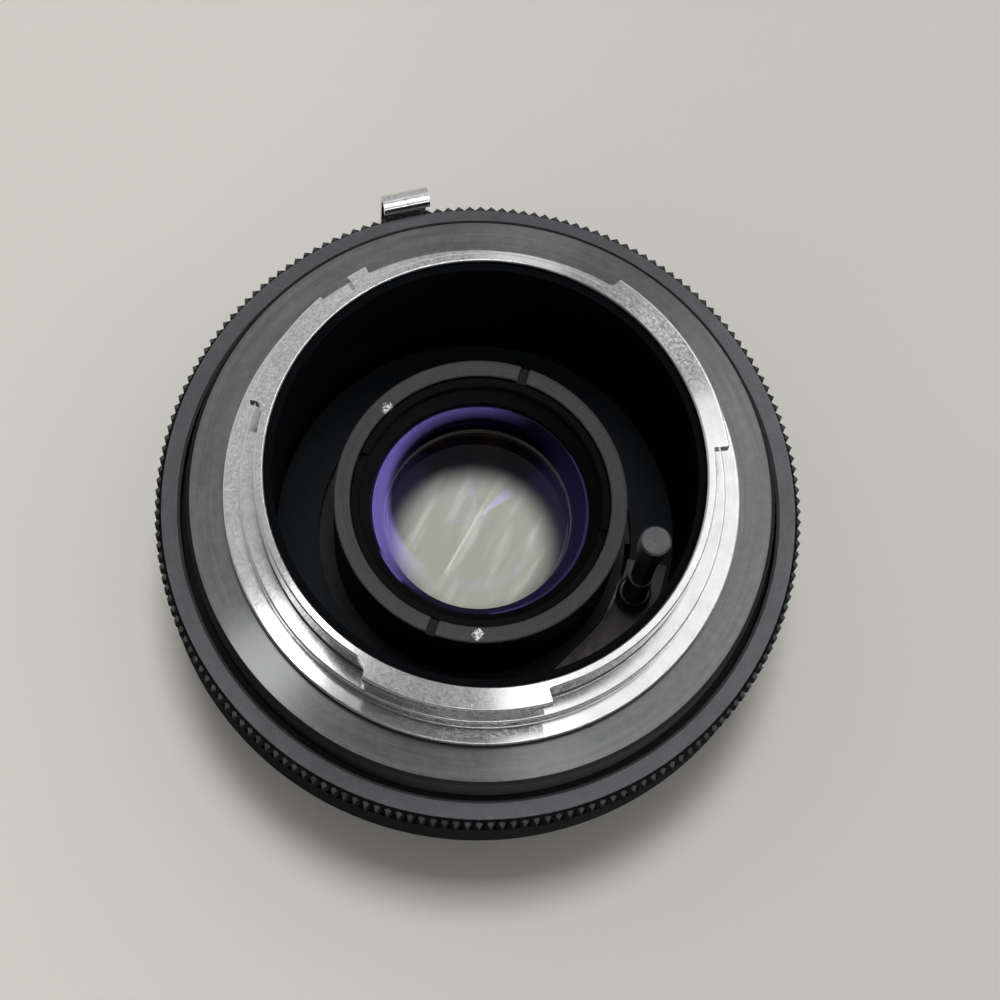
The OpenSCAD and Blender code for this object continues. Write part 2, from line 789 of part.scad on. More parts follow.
module front_bayonet() {
  color(chrome) difference() {
    rotate_extrude() polygon([
      [register_r, 0], [plate_r, 0], [plate_r, plate_thick], [claw_sleeve_r, plate_thick],
      [claw_sleeve_r, z_claw], [claw_r, z_claw], [claw_r, plate_thick + claw_relief],
      [register_r, plate_thick + claw_relief]
    ]);
    claw_gap(LUG_A[1], LUG_C[0]);
    claw_gap(LUG_C[1], LUG_B[0] + 360);
    claw_gap(LUG_B[1], LUG_A[0]);
    for (a = plate_screw_angles) plate_screw_body(a, seat_fit, over);
  }
}

// Gap between two claws, where a lug of the lens goes in
module claw_gap(a0, a1) {
  sector(claw_r - over, register_r + claw_gap_room, a0, a1, plate_thick, z_claw + over);
}

// Countersunk screw, grown by a clearance for its hole
module plate_screw_body(a, gap, rise) {
  low = plate_screw_sink - rise;
  rotate([0, 0, a]) translate([plate_screw_r, 0, 0]) {
    translate([0, 0, low]) cylinder(h = rise + eps, d = plate_screw_head_d + 2 * gap);
    translate([0, 0, plate_screw_sink])
      cylinder(h = plate_screw_head_h, d1 = plate_screw_head_d + 2 * gap, d2 = plate_screw_d + 2 * gap);
    translate([0, 0, plate_screw_sink + plate_screw_head_h - eps])
      cylinder(h = plate_screw_len - plate_screw_sink - plate_screw_head_h, d = plate_screw_d + 2 * gap);
  }
}

module front_bayonet_screws() {
  color(spring_steel) for (a = plate_screw_angles) difference() {
    plate_screw_body(a, 0, 0);
    rotate([0, 0, a]) translate([plate_screw_r, 0, plate_screw_sink]) {
      cube([driver_slot_w, plate_screw_head_d * cross_slot_share, driver_slot_h * 2], center = true);
      cube([plate_screw_head_d * cross_slot_share, driver_slot_w, driver_slot_h * 2], center = true);
    }
  }
}

// Bowed leaf springs that draw the lens lugs up against the claws
module bayonet_springs() {
  color(spring_steel) for (lug = [LUG_A, LUG_B, LUG_C])
    rotate([0, 0, (lug[0] + lug[1]) / 2 + (lug == LUG_C ? leaf_shift : 0)])
      translate([leaf_r, 0, z_claw + face_gap]) rotate([90, 0, 90]) linear_extrude(leaf_w) leaf_profile();
}

module leaf_profile() {
  ramp = (leaf_half - leaf_flat) / 2;
  polygon([
    [-leaf_half, 0], [-leaf_half + leaf_flat, 0], [-ramp / 2, leaf_lift], [ramp / 2, leaf_lift],
    [leaf_half, leaf_t], [leaf_half, 2 * leaf_t], [ramp / 2, leaf_lift + leaf_t],
    [-ramp / 2, leaf_lift + leaf_t], [-leaf_half + leaf_flat - leaf_t / 2, leaf_t], [-leaf_half, leaf_t]
  ]);
}

module lens_index_bead() {
  skin = bead_depth - face_gap;
  color(index_red) rotate([0, 0, bead_angle]) translate([front_r - bead_depth + face_gap, 0, bead_z])
    rotate([0, 90, 0]) rotate_extrude() polygon([
      [0, 0], [bead_d / 2, 0], [bead_d / 2, skin], [bead_d / 2 - bead_proud, skin + bead_proud],
      [0, skin + bead_proud]
    ]);
}

// Coupling ring and what turns with it

module coupling_ring() {
  color(matte_black) difference() {
    union() {
      rotate_extrude() polygon([
        [ring_bore_r, z_ring], [band_r - edge_bevel, z_ring], [band_r, z_ring + edge_bevel],
        [band_r, z_knurl_foot], [land_r, z_knurl_foot], [land_r, z_land],
        [ring_bore_r + edge_bevel, z_land], [ring_bore_r, z_land - edge_bevel]
      ]);
      knurl();
    }
    follower_recess();
    for (a = guide_angles)
      rod(ring_bore_r - over, band_r + over, a, z_guide, guide_screw_d + 2 * seat_fit);
    rod(ring_bore_r - over, band_r - guide_sink, drive_angle, z_drive, drive_pin_d + 2 * seat_fit);
    tab_rivet_bodies(seat_fit);
    follower_screw_bodies(seat_fit);
  }
}

// V teeth with bevelled ends
module knurl() {
  teeth = [for (i = [0:2 * knurl_teeth - 1])
    let (a = i * 180 / knurl_teeth, r = i % 2 == 0 ? knurl_r : knurl_root_r) [r * cos(a), r * sin(a)]];
  inner = (ring_bore_r + land_r) / 2;
  bevel_h = knurl_slope * (knurl_depth + 2 * land_step);
  intersection() {
    translate([0, 0, z_knurl_foot]) linear_extrude(knurl_height) difference() {
      polygon(teeth);
      circle(r = inner);
    }
    rotate_extrude() polygon([
      [inner - over, z_knurl_foot - over], [land_r, z_knurl_foot - over], [land_r, z_knurl_foot],
      [knurl_r + land_step, z_knurl_foot + bevel_h], [knurl_r + land_step, z_knurl - bevel_h],
      [land_r, z_knurl], [land_r, z_knurl + over], [inner - over, z_knurl + over]
    ]);
  }
}

// Chrome lug: sheet that leaves the plain band, climbs past the knurl and rolls back over the ring
module coupling_lug() {
  color(chrome) difference() {
    rotate([0, 0, tab_angle]) rotate([90, 0, 0]) linear_extrude(tab_w, center = true) tab_profile();
    tab_rivet_bodies(seat_fit);
  }
}

module tab_profile() {
  leg_r0 = tab_centre_r + tab_roll_r - tab_sheet;
  step_z = tab_foot_z + tab_foot_h;
  difference() {
    union() {
      translate([tab_centre_r, z_tab_roll]) difference() {
        circle(r = tab_roll_r);
        circle(r = tab_roll_r - tab_sheet);
        translate([-2 * tab_roll_r, -2 * tab_roll_r]) square([4 * tab_roll_r, 2 * tab_roll_r]);
      }
      translate([tab_centre_r - tab_roll_r, z_tab_roll - tab_lip]) square([tab_sheet, tab_lip + eps]);
      translate([leg_r0, step_z]) square([tab_sheet, z_tab_roll - step_z + eps]);
      translate([band_r + face_gap, step_z]) square([leg_r0 + tab_sheet - band_r - face_gap, tab_sheet]);
      translate([band_r + face_gap, tab_foot_z]) square([tab_sheet, tab_foot_h + tab_sheet]);
    }
    translate([tab_centre_r, z_tab_roll]) rotate(tab_groove_angle) translate([tab_roll_r, 0])
      circle(r = tab_groove_r);
  }
}

module tab_rivet_bodies(gap) {
  z = tab_foot_z + tab_foot_h / 2;
  for (s = [-1, 1]) rod(band_r - tab_rivet_depth - gap, band_r + tab_sheet + 2 * face_gap + gap,
    tab_angle, z, tab_rivet_d + 2 * gap, s * tab_rivet_gap / 2);
}

module lug_rivets() {
  z = tab_foot_z + tab_foot_h / 2;
  head_r = band_r + tab_sheet + 2 * face_gap;
  color(spring_steel) {
    tab_rivet_bodies(0);
    for (s = [-1, 1])
      rod(head_r - eps, head_r + tab_rivet_head_h, tab_angle, z, tab_rivet_head_d, s * tab_rivet_gap / 2);
  }
}

module follower_recess() {
  rotate([0, 0, follower_angle])
    block(follower_r - follower_side, band_r + over, follower_w + 2 * follower_side, z_ring - over,
      z_ring + follower_seat_h + follower_side);
}

// Arm that hangs from the ring to the lens seat, with a rounded tip
module coupling_follower() {
  color(spring_steel) difference() {
    rotate([0, 0, follower_angle]) translate([follower_r, 0, 0]) rotate([90, 0, 90])
      linear_extrude(follower_t) follower_outline();
    follower_screw_bodies(seat_fit);
  }
}

module follower_outline() {
  tip_z = follower_foot + follower_tip_r;
  tip_side = follower_w / 2 - follower_tip_r;
  translate([-follower_w / 2, tip_z]) square([follower_w, z_ring + follower_seat_h - tip_z]);
  for (s = [-1, 1]) translate([s * tip_side, tip_z]) circle(r = follower_tip_r);
  translate([-tip_side, follower_foot]) square([2 * tip_side, follower_tip_r + eps]);
}

module follower_screw_bodies(gap) {
  z = z_ring + follower_seat_h / 2 + follower_screw_lift;
  for (s = [-1, 1]) rod(follower_r - follower_screw_depth - gap, follower_r + follower_t + gap,
    follower_angle, z, follower_screw_d + 2 * gap, s * follower_screw_gap / 2);
}

module follower_screws() {
  color(spring_steel) follower_screw_bodies(0);
}

module coupling_guide_screws() {
  dog_r = journal_r - guide_dog_depth;
  color(spring_steel) for (a = guide_angles) difference() {
    union() {
      rod(dog_r, ring_bore_r + over, a, z_guide, guide_dog_d);
      rod(ring_bore_r + face_gap, band_r - guide_sink, a, z_guide, guide_screw_d);
    }
    rotate([0, 0, a]) translate([band_r - guide_sink, 0, z_guide])
      cube([2 * driver_slot_h, driver_slot_w, guide_screw_d * 2], center = true);
  }
}

module coupling_drive_pin() {
  color(spring_steel) rod(pocket_r0 + drive_room, band_r - guide_sink - face_gap,
    drive_angle, z_drive, drive_pin_d);
}

module coupling_spring() {
  post_turn = (spring_post_d / 2 + coupling_wire + spring_end_gap) / coupling_spring_r * 180 / PI;
  pin_turn = (drive_pin_d / 2 + coupling_wire + spring_end_gap) / coupling_spring_r * 180 / PI;
  color(spring_steel) arc_coil("coupling_spring", coupling_spring_r, z_drive,
    spring_post_angle + post_turn, drive_angle - pin_turn,
    coupling_coil_r, coupling_wire, coupling_pitch);
}

module coupling_spring_post() {
  color(spring_steel) post(coupling_spring_r, spring_post_angle, z_pocket - post_depth + face_gap,
    z_drive + drive_pin_d, spring_post_d);
}

// Stop-down mechanism

module stop_down_ring() {
  color(deep_black) difference() {
    union() {
      ring(stop_ring_bore_r, stop_ring_r, z_stop_ring, z_arm);
      sector(stop_spring_r - stop_ear_reach, stop_ring_bore_r + stop_ear_root,
        stop_ear_angle - stop_ear_half, stop_ear_angle + stop_ear_half, z_stop_ring, z_arm);
    }
    pin_tenon(seat_fit);
    arm_rivet_bodies(seat_fit, 0);
    rotate([0, 0, lever_angle])
      block(lever_r - lever_t / 2 - seat_fit, lever_r + lever_t / 2 + seat_fit, lever_w + 2 * seat_fit,
        z_stop_ring - over, z_arm + over);
  }
}

module pin_arm() {
  color(bare_steel) difference() {
    sector(arm_inner_r, arm_outer_r, arm_end, arm_start, z_arm + face_gap, z_arm_top);
    rotate([0, 0, arm_straight_from]) translate([0, -2 * arm_outer_r, z_arm - over])
      cube([arm_inner_r, 2 * arm_outer_r, arm_thick + 2 * over]);
    pin_tenon(seat_fit);
    arm_rivet_bodies(seat_fit, 0);
  }
}

module arm_rivet_bodies(gap, sink) {
  for (a = arm_rivet_angles) post(rivet_r, a, z_stop_ring + sink, z_arm_top + gap, arm_rivet_d + 2 * gap);
}

module arm_rivets() {
  color(spring_steel) {
    arm_rivet_bodies(0, face_gap);
    for (a = arm_rivet_angles)
      post(rivet_r, a, z_arm_top + face_gap, z_arm_top + face_gap + arm_rivet_head_h, arm_rivet_head_d);
    for (a = arm_rivet_angles) post(rivet_r, a, z_arm_top - eps, z_arm_top + 2 * face_gap, arm_rivet_d);
  }
}

module pin_tenon(gap) {
  post(pin_r, pin_angle, z_arm_top - pin_tenon_depth - gap, z_arm_top + 2 * face_gap,
    pin_tenon_d + 2 * gap);
}

// Stepped pin with a bevelled head and the nib left by the lathe
module stop_down_pin() {
  foot = z_arm_top + face_gap;
  head = pin_head_d / 2;
  step = z_rim - pin_step_drop;
  color(cell_grey) {
    rotate([0, 0, pin_angle]) translate([pin_r, 0, 0]) rotate_extrude() polygon([
      [0, foot], [pin_collar_d / 2, foot], [pin_collar_d / 2, foot + pin_collar_h - pin_bevel],
      [pin_collar_d / 2 - pin_bevel, foot + pin_collar_h], [pin_step_d / 2, foot + pin_collar_h],
      [pin_step_d / 2, step], [pin_shank_d / 2, step], [pin_shank_d / 2, z_rim - pin_head_h],
      [head, z_rim - pin_head_h], [head, z_rim - pin_bevel], [head - pin_bevel, z_rim],
      [pin_nib_d / 2, z_rim], [pin_nib_d / 2, z_rim + pin_nib_h], [0, z_rim + pin_nib_h]
    ]);
    pin_tenon(0);
  }
}

module stop_down_lever() {
  color(bare_steel) rotate([0, 0, lever_angle])
    block(lever_r - lever_t / 2, lever_r + lever_t / 2, lever_w, z_web - lever_drop, z_arm);
}

module stop_down_spring() {
  post_turn = (stop_post_d / 2 + stop_spring_wire + spring_end_gap) / stop_spring_r * 180 / PI;
  ear_turn = (stop_spring_wire + spring_end_gap) / stop_spring_r * 180 / PI + stop_ear_half;
  color(spring_steel) arc_coil("stop_down_spring", stop_spring_r, stop_spring_z,
    stop_post_angle + post_turn, stop_ear_angle - ear_turn,
    stop_spring_coil_r, stop_spring_wire, stop_spring_pitch);
}

module stop_down_spring_post() {
  color(spring_steel) post(stop_spring_r, stop_post_angle, z_web_top - post_depth + face_gap,
    z_web_top + post_rise, stop_post_d);
}

// Lens lock and release

module release_slide() {
  color(deep_black) rotate([0, 0, lock_angle]) difference() {
    union() {
      block(slide_block_r0, slide_tall_r1, slide_w, z_slide, z_slide_top);
      block(slide_tall_r1 - eps, front_r - button_gap, slide_w, z_slide, z_slide + slide_low_h);
      block(slide_arm_r0, slide_block_r0 + eps, slide_w, z_slide_arm, z_slide_top);
    }
    translate([lock_r, 0, z_slide_arm - over])
      cylinder(h = 2 * over + slide_arm_h, d = lock_pin_d + 2 * seat_fit);
  }
}

// Thumb piece on the outside, with ribs across the direction of travel
module release_button() {
  r0 = front_r + button_gap;
  rib_pitch = button_h / button_ribs;
  rib_half = rib_pitch * button_rib_share / 2;
  color(chrome) rotate([0, 0, lock_angle]) {
    block(r0, r0 + button_t - button_rib, button_w, z_slide, z_slide + button_h);
    block(front_r - button_gap + face_gap, r0 + eps, slide_w / 2,
      z_slide + button_stem_inset, z_slide + button_h - button_stem_inset);
    for (i = [0:button_ribs - 1]) translate([0, 0, z_slide + rib_pitch * (i + 0.5)])
      block(r0, r0 + button_t, button_w, -rib_half, rib_half);
  }
}

module lock_pin() {
  color(spring_steel) post(lock_r, lock_angle, z_web - lock_pin_drop, z_slide_top, lock_pin_d);
}

module lock_spring() {
  foot = z_slide_top + face_gap;
  roof = slot_top + lock_spring_room;
  length = roof - foot - lock_wire * 3;
  turns = floor(length / lock_pitch);
  path = with_leads(straight_coil_path(length, lock_coil_r, turns), [0, 0, lock_wire], [0, 0, lock_wire]);
  echo("lock_spring least gap between turns", coil_gap(path, lock_wire));
  color(spring_steel) rotate([0, 0, lock_angle])
    translate([lock_spring_r, 0, foot + lock_wire * 1.5])
      wire_tube(path, with_end_sides(straight_coil_sides(turns)), lock_wire);
}

main_barrel();
rear_cover();
rear_bayonet();
rear_bayonet_screws();
chamber_sleeve();
optical_cell();
rear_retaining_ring();
rear_element();
doublet_front_element();
second_element();
front_spacer();
front_element();
front_retaining_ring();
front_bayonet();
front_bayonet_screws();
bayonet_springs();
lens_index_bead();
coupling_ring();
coupling_lug();
lug_rivets();
coupling_follower();
follower_screws();
coupling_guide_screws();
coupling_drive_pin();
coupling_spring();
coupling_spring_post();
stop_down_ring();
pin_arm();
arm_rivets();
stop_down_pin();
stop_down_lever();
stop_down_spring();
stop_down_spring_post();
release_slide();
release_button();
lock_pin();
lock_spring();
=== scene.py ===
"""Looks of a camera lens extender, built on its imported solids. Metres, Z along the optical axis."""

import math

import bpy
from mathutils import Matrix, Vector

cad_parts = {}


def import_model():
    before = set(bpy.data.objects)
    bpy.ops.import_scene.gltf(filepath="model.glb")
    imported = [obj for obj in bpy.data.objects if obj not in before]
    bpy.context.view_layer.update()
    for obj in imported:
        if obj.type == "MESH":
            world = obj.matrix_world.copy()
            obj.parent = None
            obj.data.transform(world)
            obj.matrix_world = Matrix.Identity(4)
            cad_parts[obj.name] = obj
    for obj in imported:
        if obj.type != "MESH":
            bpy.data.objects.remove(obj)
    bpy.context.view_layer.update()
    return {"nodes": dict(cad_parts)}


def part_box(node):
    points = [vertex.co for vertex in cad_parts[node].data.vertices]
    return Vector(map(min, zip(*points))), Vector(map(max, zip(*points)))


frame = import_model()
nodes = frame["nodes"]
scene = bpy.context.scene
scene.view_settings.view_transform = "Standard"

MM = 0.001
PER_MM = 1000.0

# Places on the solids, in millimetres. A pair is where a mask starts and ends.
TEETH = 180
KNURL_TOP = 21.5
LAND_FOOT = (21.45, 21.65)
LAND_EDGE = (32.0, 32.04)
FACET_FOOT = (32.18, 32.28)
COVER_FACE_FOOT = (25.3, 25.5)
COVER_FACE_EDGE = (28.94, 29.06)
FLANGE_FOOT = (26.84, 27.2)
FLANGE_EDGE = (25.50, 25.60)
FLANGE_SIDE = (26.60, 26.68)
PILOT_FOOT = (28.94, 29.3)
TUBE_WALL = (28.97, 30.5)
TUBE_WALL_EDGE = (22.5, 22.7)
CELL_RIM_FOOT = (23.40, 23.52)
CELL_CHIPS = ((-9.45, 9.45, 0.62), (-0.25, -13.9, 0.6))
BARREL_INSIDE = (10.6, 11.4)
CHROME_EDGE = 0.09

# Share of upward normal below which a chrome face counts as a wall, and above which it doesn't
WALL_TILT = (0.2, 0.4)
WALL_POLISH = 0.35

# Near-black colour of the painted shade on the chrome
SHADE_BLACK = (0.006, 0.006, 0.006)

# Camera, solved from the ellipses in the photo
LENS, SENSOR = 93.6, 36.0
CAMERA_PLACE = (-0.0120, -0.0745, 0.2732)
CAMERA_RIGHT = (0.9985, 0.0, 0.0556)
CAMERA_UP = (-0.0159, 0.9584, 0.2850)

# Room. CEILING is where flat faces mirror the ceiling, in steps aside for one step up.
# Sectors lie round it: middle, half width and soft edge in degrees.
CEILING = (0.048, 0.300)
CEILING_LEVEL = 0.22
CEILING_END = (0.20, 0.34)
CEILING_SECTORS = (
    ((331.0, 56.0, 3.0), 1.20),
    ((284.0, 9.0, 3.0), 1.9),
    ((165.0, 62.0, 14.0), 0.38),
    ((220.0, 8.0, 3.0), 5.2),
    ((80.0, 9.0, 4.0), 0.85),
)
FRONT_LEVEL, FRONT_LEVEL_MIRRORED = 0.29, 0.08
BACK_TONE = (0.44, 0.44, 0.435)
PANEL_SECTOR, PANEL_REACH = (330.0, 72.0, 22.0), (0.80, 1.40)
PANEL_TONE = (6.0, 6.0, 6.2)
FIGURE_SECTOR, FIGURE_REACH = (268.0, 50.0, 12.0), (0.40, 0.76)
FIGURE_TONE = (0.012, 0.012, 0.013)
SOFT_REACH = 0.06
STRENGTH_THROUGH_GLASS = 0.15

# Table, and the pool of light that glass shows below the lens
FLOOR_HALF = 3.0
FLOOR_DROP = 0.05
STREAK_TURN = (0.47, 0.88)
POOL_SHIFT = 0.6
POOL_END = (8.0, 13.0)


# Materials: small writers for node trees

class Nodes:
    """Helpers that write a node tree and return sockets."""

    def __init__(self, tree):
        self.tree = tree

    def add(self, kind, **settings):
        node = self.tree.nodes.new(kind)
        for key, value in settings.items():
            setattr(node, key, value)
        return node

    def put(self, socket, value):
        if hasattr(value, "is_output"):
            self.tree.links.new(value, socket)
        else:
            socket.default_value = value

    def math(self, operation, a, b=0.0):
        node = self.add("ShaderNodeMath", operation=operation)
        self.put(node.inputs[0], a)
        self.put(node.inputs[1], b)
        return node.outputs[0]

    def product(self, first, *rest):
        for factor in rest:
            first = self.math("MULTIPLY", first, factor)
        return first

    def total(self, first, *rest):
        for term in rest:
            first = self.math("ADD", first, term)
        return first

    def largest(self, first, *rest):
        for other in rest:
            first = self.math("MAXIMUM", first, other)
        return first

    def length(self, a, b):
        return self.math("SQRT", self.total(self.product(a, a), self.product(b, b)))

    def span(self, value, low, high, to_low=0.0, to_high=1.0):
        node = self.add("ShaderNodeMapRange", interpolation_type="SMOOTHSTEP")
        for socket, v in zip(node.inputs, (value, low, high, to_low, to_high)):
            self.put(socket, v)
        return node.outputs[0]

    def until(self, value, low, high):
        """One below low, and nothing above high."""
        return self.span(value, low, high, 1.0, 0.0)

    def band(self, value, low, high, edge):
        """One between low and high, and nothing outside them."""
        return self.product(self.span(value, low - edge, low + edge),
                            self.until(value, high - edge, high + edge))

    def split(self, vector):
        node = self.add("ShaderNodeSeparateXYZ")
        self.put(node.inputs[0], vector)
        return node.outputs

    def vector(self, x, y, z):
        node = self.add("ShaderNodeCombineXYZ")
        for socket, v in zip(node.inputs, (x, y, z)):
            self.put(socket, v)
        return node.outputs[0]

    def noise(self, where, scale, detail=3.0, roughness=0.6):
        node = self.add("ShaderNodeTexNoise")
        for key, v in (("Vector", where), ("Scale", scale), ("Detail", detail), ("Roughness", roughness)):
            self.put(node.inputs[key], v)
        return node.outputs[0]

    def blend(self, share, a, b):
        node = self.add("ShaderNodeMix", data_type="RGBA")
        self.put(node.inputs["Factor"], share)
        for socket, v in ((node.inputs[6], a), (node.inputs[7], b)):
            self.put(socket, (*v, 1.0) if isinstance(v, tuple) and len(v) == 3 else v)
        return node.outputs[2]


class Paint(Nodes):
    """One procedural material, with the surface's place in millimetres."""

    def __init__(self, name):
        self.material = bpy.data.materials.new(name)
        self.material.use_nodes = True
        super().__init__(self.material.node_tree)
        self.shader = self.tree.nodes["Principled BSDF"]
        scale = self.add("ShaderNodeVectorMath", operation="SCALE")
        self.put(scale.inputs[0], self.add("ShaderNodeTexCoord").outputs["Object"])
        self.put(scale.inputs["Scale"], PER_MM)
        self.place = scale.outputs[0]
        self.x, self.y, self.z = self.split(self.place)
        self.radius = self.length(self.x, self.y)
        self.angle = self.math("ARCTAN2", self.y, self.x)

    def set(self, **values):
        for key, value in values.items():
            self.put(self.shader.inputs[key.replace("_", " ")], value)

    def grain(self, per_mm, detail=3.0, roughness=0.6):
        return self.noise(self.place, per_mm, detail, roughness)

    def arcs(self, per_mm, per_turn):
        """Noise drawn out round the axis, as a turned face has it."""
        where = self.vector(self.product(self.radius, per_mm),
                            self.product(self.angle, per_turn / math.tau),
                            self.product(self.z, per_mm))
        return self.noise(where, 1.0, 4.0)

    def spot(self, x, y, size):
        """A ragged patch round a point of the plan."""
        far = self.length(self.math("SUBTRACT", self.x, x), self.math("SUBTRACT", self.y, y))
        ragged = self.total(far, self.span(self.grain(4.0), 0.3, 0.7, -0.3 * size, 0.3 * size))
        return self.until(ragged, 0.75 * size, size)

    def facing_up(self):
        return self.split(self.add("ShaderNodeNewGeometry").outputs["True Normal"])[2]

    def bump(self, height, strength, depth, edge=0.0):
        """Relief of a depth, on edges that are rounded by a radius."""
        node = self.add("ShaderNodeBump")
        if edge:
            rounded = self.add("ShaderNodeBevel", samples=6)
            self.put(rounded.inputs["Radius"], edge * MM)
            self.put(node.inputs["Normal"], rounded.outputs[0])
        for key, v in (("Height", height), ("Strength", strength), ("Distance", depth * MM)):
            self.put(node.inputs[key], v)
        self.put(self.shader.inputs["Normal"], node.outputs[0])

    def turned(self):
        """Stretches highlights across the grooves of a turned face."""
        tangent = self.add("ShaderNodeTangent", direction_type="RADIAL", axis="Z")
        self.put(self.shader.inputs["Tangent"], tangent.outputs[0])
        self.set(Anisotropic=1.0, Anisotropic_Rotation=0.25)


def turned_chrome():
    """Bright metal with painted shade at the foot of its steps, on the flange's outer side and on the
    tube wall under the lugs. Its walls are smoother than its faces.
    """
    p = Paint("chrome")
    fine = p.grain(3.2, 4.0, 0.7)
    cloud = p.grain(0.45, 4.0)
    worn = p.span(p.total(fine, p.product(cloud, 0.7)), 0.62, 1.05)
    metal = p.blend(worn, (0.76, 0.77, 0.78), (0.90, 0.90, 0.89))
    # Painted shade: dark lines at the feet of the flange and pilot, on the flange's outer side, and on
    # the tube wall under the lugs
    feet = p.largest(p.band(p.z, *FLANGE_FOOT, 0.05), p.band(p.z, *PILOT_FOOT, 0.05))
    edge = p.product(p.span(p.radius, *FLANGE_EDGE), p.until(p.z, *FLANGE_SIDE))
    wall = p.product(p.band(p.z, *TUBE_WALL, 0.04), p.until(p.radius, *TUBE_WALL_EDGE))
    painted_shade = p.largest(feet, edge, p.product(wall, 0.95))
    p.set(Base_Color=p.blend(painted_shade, metal, SHADE_BLACK), Metallic=p.math("SUBTRACT", 1.0, painted_shade))
    polish = p.span(p.math("ABSOLUTE", p.facing_up()), *WALL_TILT, WALL_POLISH, 1.0)
    gloss = p.product(p.span(fine, 0.3, 0.75, 0.08, 0.15), polish)
    p.set(Roughness=p.total(gloss, p.product(painted_shade, 0.5)), Specular_IOR_Level=0.1)
    p.turned()
    p.bump(p.total(fine, p.arcs(5.0, 40.0)), 0.018, 0.010, CHROME_EDGE)
    return p.material


def bright_plate():
    p = Paint("bright_plate")
    fine = p.grain(2.4, 4.0, 0.7)
    p.set(Base_Color=p.blend(p.span(fine, 0.3, 0.7), (0.70, 0.70, 0.70), (0.90, 0.90, 0.89)))
    p.set(Roughness=p.span(fine, 0.3, 0.75, 0.27, 0.36), Metallic=1.0)
    p.bump(fine, 0.03, 0.012)
    return p.material


def turned_cover():
    """Worn black on a turned disc. Its bevel and its side are painted near-black, a painted shade line
    along the cover's edge.
    """
    p = Paint("satin_black")
    lines = p.arcs(9.0, 2.0)
    sweeps = p.arcs(1.5, 18.0)
    mottle = p.grain(0.9, 5.0, 0.65)
    tone = p.total(p.product(lines, 0.35), p.product(sweeps, 0.35), p.product(mottle, 0.30))
    # face is the top face; the bevel and side outside it get painted shade
    face = p.product(p.until(p.radius, *COVER_FACE_EDGE), p.span(p.z, *COVER_FACE_FOOT))
    metal = p.blend(p.span(tone, 0.36, 0.64), (0.138, 0.141, 0.144), (0.206, 0.208, 0.206))
    p.set(Base_Color=p.blend(face, (0.006, 0.006, 0.007), metal), Metallic=p.product(face, 0.65))
    gloss = p.span(tone, 0.36, 0.64, 0.12, 0.17)
    p.set(Roughness=p.span(face, 0.0, 1.0, 0.6, gloss), Specular_IOR_Level=0.25)
    p.turned()
    p.bump(p.total(lines, p.product(p.grain(5.0), 0.5)), 0.04, 0.01)
    return p.material


def knurled_black():
    """Matte black with a greyer flat land, and worn paint with a painted highlight on the teeth's
    up-facing top facets and upper ridges.
    """
    p = Paint("matte_black")
    speck = p.grain(7.0, 3.0, 0.7)
    cloud = p.grain(0.5, 4.0)
    tone = p.span(p.total(speck, p.product(cloud, 0.6)), 0.6, 1.05)
    land = p.blend(tone, (0.110, 0.112, 0.120), (0.145, 0.147, 0.156))
    land_share = p.product(p.span(p.z, *LAND_FOOT), p.until(p.radius, *LAND_EDGE))
    phase = p.math("FRACT", p.total(p.product(p.angle, TEETH / math.tau), 0.5))
    off_tip = p.product(p.math("ABSOLUTE", p.math("SUBTRACT", phase, 0.5)), 2.0)
    facing = p.facing_up()
    # Lighter grey on up-facing facets and upper ridges: worn paint and the painted highlight of lit
    # facets
    worn_lit_facet = p.product(p.band(facing, 0.5, 0.95, 0.03),
                      p.span(p.math("SUBTRACT", p.radius, p.product(off_tip, 0.25)), *FACET_FOOT))
    below = p.math("SUBTRACT", KNURL_TOP, p.z)
    worn_lit_ridge = p.product(p.until(facing, 0.2, 0.3),
                      p.until(p.total(off_tip, p.product(below, 0.42)), 0.62, 0.74))
    worn = p.product(p.largest(worn_lit_facet, worn_lit_ridge), p.span(cloud, 0.25, 0.6, 0.45, 1.0))
    dark = p.blend(worn, (0.0045, 0.0045, 0.005), (0.066, 0.070, 0.072))
    p.set(Base_Color=p.blend(land_share, dark, land), Metallic=p.product(land_share, 0.6))
    matte = p.span(speck, 0.3, 0.7, 0.55, 0.75)
    p.set(Roughness=p.span(land_share, 0.0, 1.0, matte, 0.26), Specular_IOR_Level=0.05)
    p.turned()
    p.bump(speck, 0.3, 0.02)
    return p.material


def barrel_black():
    """Satin black outside, and deep black in the chamber."""
    p = Paint("barrel_black")
    speck = p.grain(4.2, 3.0, 0.7)
    cloud = p.grain(0.2, 4.0)
    outside = p.blend(p.span(p.product(speck, cloud), 0.12, 0.40),
                      (0.011, 0.011, 0.012), (0.030, 0.030, 0.031))
    p.set(Base_Color=p.blend(p.span(p.z, *BARREL_INSIDE), outside, (0.0035, 0.0035, 0.004)))
    p.set(Roughness=p.span(speck, 0.3, 0.7, 0.42, 0.58), Specular_IOR_Level=0.35)
    p.bump(speck, 0.3, 0.02)
    return p.material


